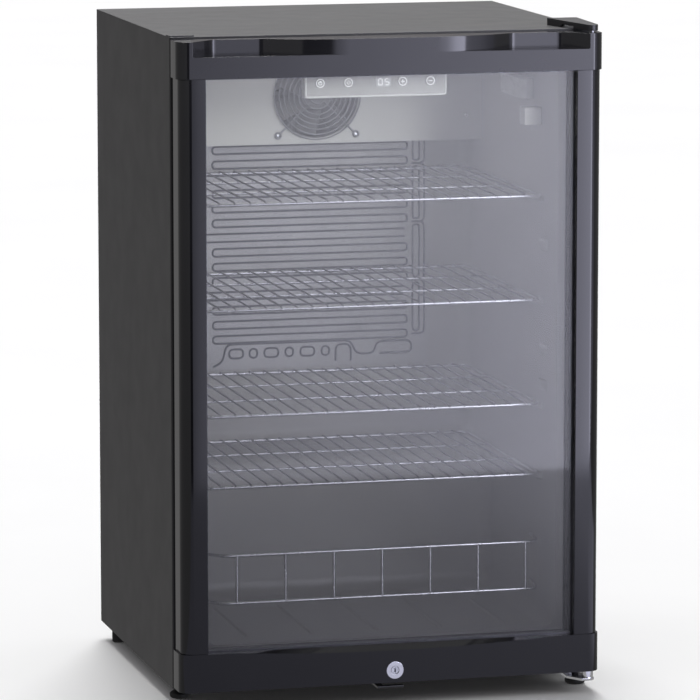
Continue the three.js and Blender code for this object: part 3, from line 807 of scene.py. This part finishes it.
def gasket():
    """Magnetic seal: a flat base, a bellows fold and a round bulb, mitred at the corners."""
    y_door, y_cab = FRONT - 0.016, FRONT - 0.0016
    depth = y_cab - y_door
    section = [(0, 0), (0, 0.18), (0.14, 0.26), (0.05, 0.36), (0.16, 0.46), (0.02, 0.56),
               (0.0, 0.80), (0.12, 0.96), (0.5, 1.0), (0.88, 0.96), (1.0, 0.80), (0.98, 0.56),
               (0.84, 0.46), (0.95, 0.36), (0.86, 0.26), (1.0, 0.18), (1.0, 0)]
    corners = [(-1, -1), (1, -1), (1, 1), (-1, 1)]
    bm = bmesh.new()
    rings = []
    for sx, sz in corners:
        ring = []
        for across, out in section:
            inset = across * 0.012
            ring.append(bm.verts.new((sx * (0.250 - inset), y_door + out * depth,
                                      0.4335 + sz * (0.3885 - inset))))
        rings.append(ring)
    for i in range(4):
        a, b = rings[i], rings[(i + 1) % 4]
        for k in range(len(section)):
            j = (k + 1) % len(section)
            bm.faces.new((a[k], a[j], b[j], b[k]))
    recalc(bm)
    obj = new_object("door_gasket_profile", bm, RUBBER, 50)
    place(obj, "door", "rubber", "door_gasket")


gasket()


# ---------------------------------------------------------------- stage


def floor():
    bm = bmesh.new()
    bmesh.ops.create_grid(bm, x_segments=2, y_segments=2, size=30)
    obj = new_object("studio_floor", bm, surface("studio_floor", (0.90, 0.90, 0.90), 0.9, vary=0.01,
                                                 patch=2, specular=0.0), 60)
    obj.visible_glossy = False
    obj.visible_diffuse = False


floor()


def reflector(name, corners, stops, strength):
    """A card that only reflections see. Its brightness changes along X, from stop to stop."""
    bm = bmesh.new()
    bm.faces.new([bm.verts.new(c) for c in corners])
    m = bpy.data.materials.new(name)
    m.use_nodes = True
    tree = m.node_tree
    tree.nodes.clear()
    out = node(tree, "ShaderNodeOutputMaterial")
    glow = node(tree, "ShaderNodeEmission", Strength=strength)
    split = node(tree, "ShaderNodeSeparateXYZ")
    tree.links.new(node(tree, "ShaderNodeTexCoord").outputs["Object"], split.inputs["Vector"])
    across = node(tree, "ShaderNodeMapRange")
    x0, x1 = stops[0][0], stops[-1][0]
    across.inputs["From Min"].default_value = x0
    across.inputs["From Max"].default_value = x1
    tree.links.new(split.outputs["X"], across.inputs["Value"])
    colours = [((at - x0) / (x1 - x0), (v * 0.84, v * 0.84, v * 1.04)) for at, v in stops]
    tree.links.new(ramp(tree, across.outputs["Result"], colours), glow.inputs["Color"])
    tree.links.new(glow.outputs["Emission"], out.inputs["Surface"])
    obj = new_object(name, bm, m)
    obj.visible_camera = False
    obj.visible_diffuse = False
    obj.visible_shadow = False
    obj.visible_transmission = False
    return obj


# The cards stand in for a room: dim at the left, bright at the right. Nothing but gloss sees
# them, so their steps set only what the frame and the pane reflect.
WALL_Y = -1.80
reflector("front_reflector",
          [(-0.6, WALL_Y, 0), (-0.6, WALL_Y, 2.2), (3.0, WALL_Y, 2.2), (3.0, WALL_Y, 0)],
          [(-0.06, 0.0), (0.07, 0.155), (0.20, 0.20), (0.418, 0.295), (0.74, 0.46), (1.0, 0.85),
           (1.30, 1.0), (1.34, 0.18), (2.6, 0.08)], 8.0)
reflector("floor_reflector",
          [(-0.6, WALL_Y, 0.001), (1.4, WALL_Y, 0.001), (1.4, -0.3, 0.001), (-0.6, -0.3, 0.001)],
          [(-0.2, 0.26), (0.06, 0.35), (0.33, 0.44), (0.45, 0.60), (0.65, 0.94), (1.2, 1.0)], 1.7)


def area_light(name, place_at, aim, size, power, colour=(1, 1, 1), shape_y=None):
    data = bpy.data.lights.new(name, "AREA")
    data.energy = power
    data.color = colour
    data.shape = "RECTANGLE"
    data.size = size
    data.size_y = shape_y or size
    obj = bpy.data.objects.new(name, data)
    bpy.context.scene.collection.objects.link(obj)
    obj.location = place_at
    obj.rotation_mode = "QUATERNION"
    obj.rotation_quaternion = (Vector(aim) - Vector(place_at)).to_track_quat("-Z", "Z")
    obj.visible_camera = False
    return obj


def soft_sun(azimuth, elevation, strength, spread):
    """A wide soft sun. Azimuth 180 shines from behind the cooler towards the camera."""
    data = bpy.data.lights.new("soft_sun", "SUN")
    data.energy = strength
    data.angle = math.radians(spread)
    obj = bpy.data.objects.new("soft_sun", data)
    bpy.context.scene.collection.objects.link(obj)
    a, e = math.radians(azimuth), math.radians(elevation)
    towards = Vector((math.sin(a) * math.cos(e), -math.cos(a) * math.cos(e), math.sin(e)))
    obj.rotation_mode = "QUATERNION"
    obj.rotation_quaternion = towards.to_track_quat("Z", "Y")


soft_sun(172, 52, 2.6, 30)
area_light("cold_space_lamp", (-0.06, FRONT + 0.19, 0.788), (-0.06, FRONT + 0.20, 0.4),
           0.26, 0.17, (1.0, 1.0, 0.985), 0.22)
upper_fill = area_light("upper_fill", (0.5, -1.9, 1.1), (0.0, FRONT + 0.03, 0.79), 0.5, 0.85,
                        (1.0, 1.0, 1.0), 0.5)
upper_fill.data.spread = math.radians(24)
upper_fill.visible_glossy = False

# The backdrop is white to the camera. Everything else sees a dimmer room.
world = bpy.data.worlds.new("studio")
world.use_nodes = True
sky = world.node_tree
seen = sky.nodes["Background"]
seen.inputs["Color"].default_value = (1, 1, 1, 1)
seen.inputs["Strength"].default_value = 1.0
room = node(sky, "ShaderNodeBackground", Strength=1.0)
height = node(sky, "ShaderNodeSeparateXYZ")
sky.links.new(node(sky, "ShaderNodeTexCoord").outputs["Generated"], height.inputs["Vector"])
level = node(sky, "ShaderNodeMapRange")
level.inputs["From Min"].default_value = -1.0
sky.links.new(height.outputs["Z"], level.inputs["Value"])
ROOM_STEPS = [(0.0, (0.20, 0.20, 0.20)), (0.48, (0.32, 0.315, 0.315)),  # below the horizon
              (0.52, (0.20, 0.19, 0.195)), (1.0, (0.60, 0.60, 0.61))]  # above it
sky.links.new(ramp(sky, level.outputs["Result"], ROOM_STEPS), room.inputs["Color"])
choose = node(sky, "ShaderNodeMixShader")
sky.links.new(node(sky, "ShaderNodeLightPath").outputs["Is Camera Ray"], choose.inputs["Fac"])
sky.links.new(room.outputs["Background"], choose.inputs[1])
sky.links.new(seen.outputs["Background"], choose.inputs[2])
sky.links.new(choose.outputs["Shader"], sky.nodes["World Output"].inputs["Surface"])
bpy.context.scene.world = world
bpy.context.scene.view_settings.view_transform = "Standard"

camera_data = bpy.data.cameras.new("camera")
camera = bpy.data.objects.new("camera", camera_data)
bpy.context.scene.collection.objects.link(camera)
camera.location = (-1.6090, -6.2074, 1.3805)
camera.rotation_mode = "XYZ"
LOOK_DOWN, LOOK_RIGHT = 0.14968, 0.2550  # radians
camera.rotation_euler = (math.pi / 2 - LOOK_DOWN, 0, -LOOK_RIGHT)
camera_data.lens = 258.3
camera_data.sensor_width = 36
camera_data.clip_start = 0.1
camera_data.clip_end = 100
bpy.context.scene.camera = camera
